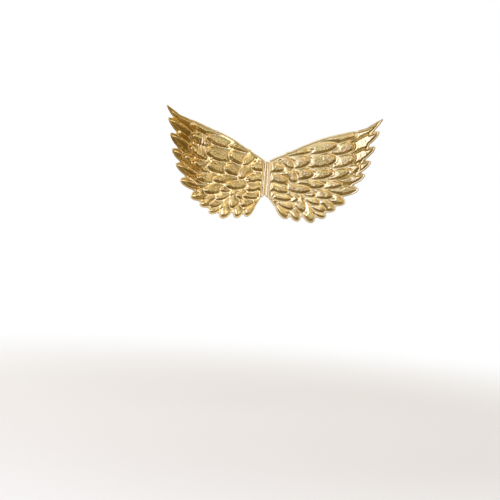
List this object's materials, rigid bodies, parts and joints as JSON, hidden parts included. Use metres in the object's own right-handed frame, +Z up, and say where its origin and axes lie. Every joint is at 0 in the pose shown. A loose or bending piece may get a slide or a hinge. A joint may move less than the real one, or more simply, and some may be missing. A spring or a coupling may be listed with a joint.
{
  "type": "child's padded angel wings",
  "caption": "Gold padded angel wings for a child's back, two quilted feather panels joined at a short seam, with elastic shoulder loops.",
  "frame": {"origin": "the middle of the centre seam's flat face on the wearer's side, where the wings rest between the shoulder blades", "axes": "+Z up the seam, -Y out of the feathered face towards somebody behind the wearer, +Y into the wearer's back, +X to the right of somebody who looks at the feathers"},
  "size_m": [0.4989, 0.175, 0.2492],
  "materials": {
    "gold_foil_cloth": "gold metallic film on knitted cloth, glossy in the pressed grooves and finely grained on the padding",
    "elastic": "plain woven elastic, matte"
  },
  "bodies": {
    "root": {"left_wing": "gold_foil_cloth", "right_wing": "gold_foil_cloth", "centre_seam": "gold_foil_cloth", "left_shoulder_strap": "elastic", "right_shoulder_strap": "elastic"}
  },
  "joints": []
}
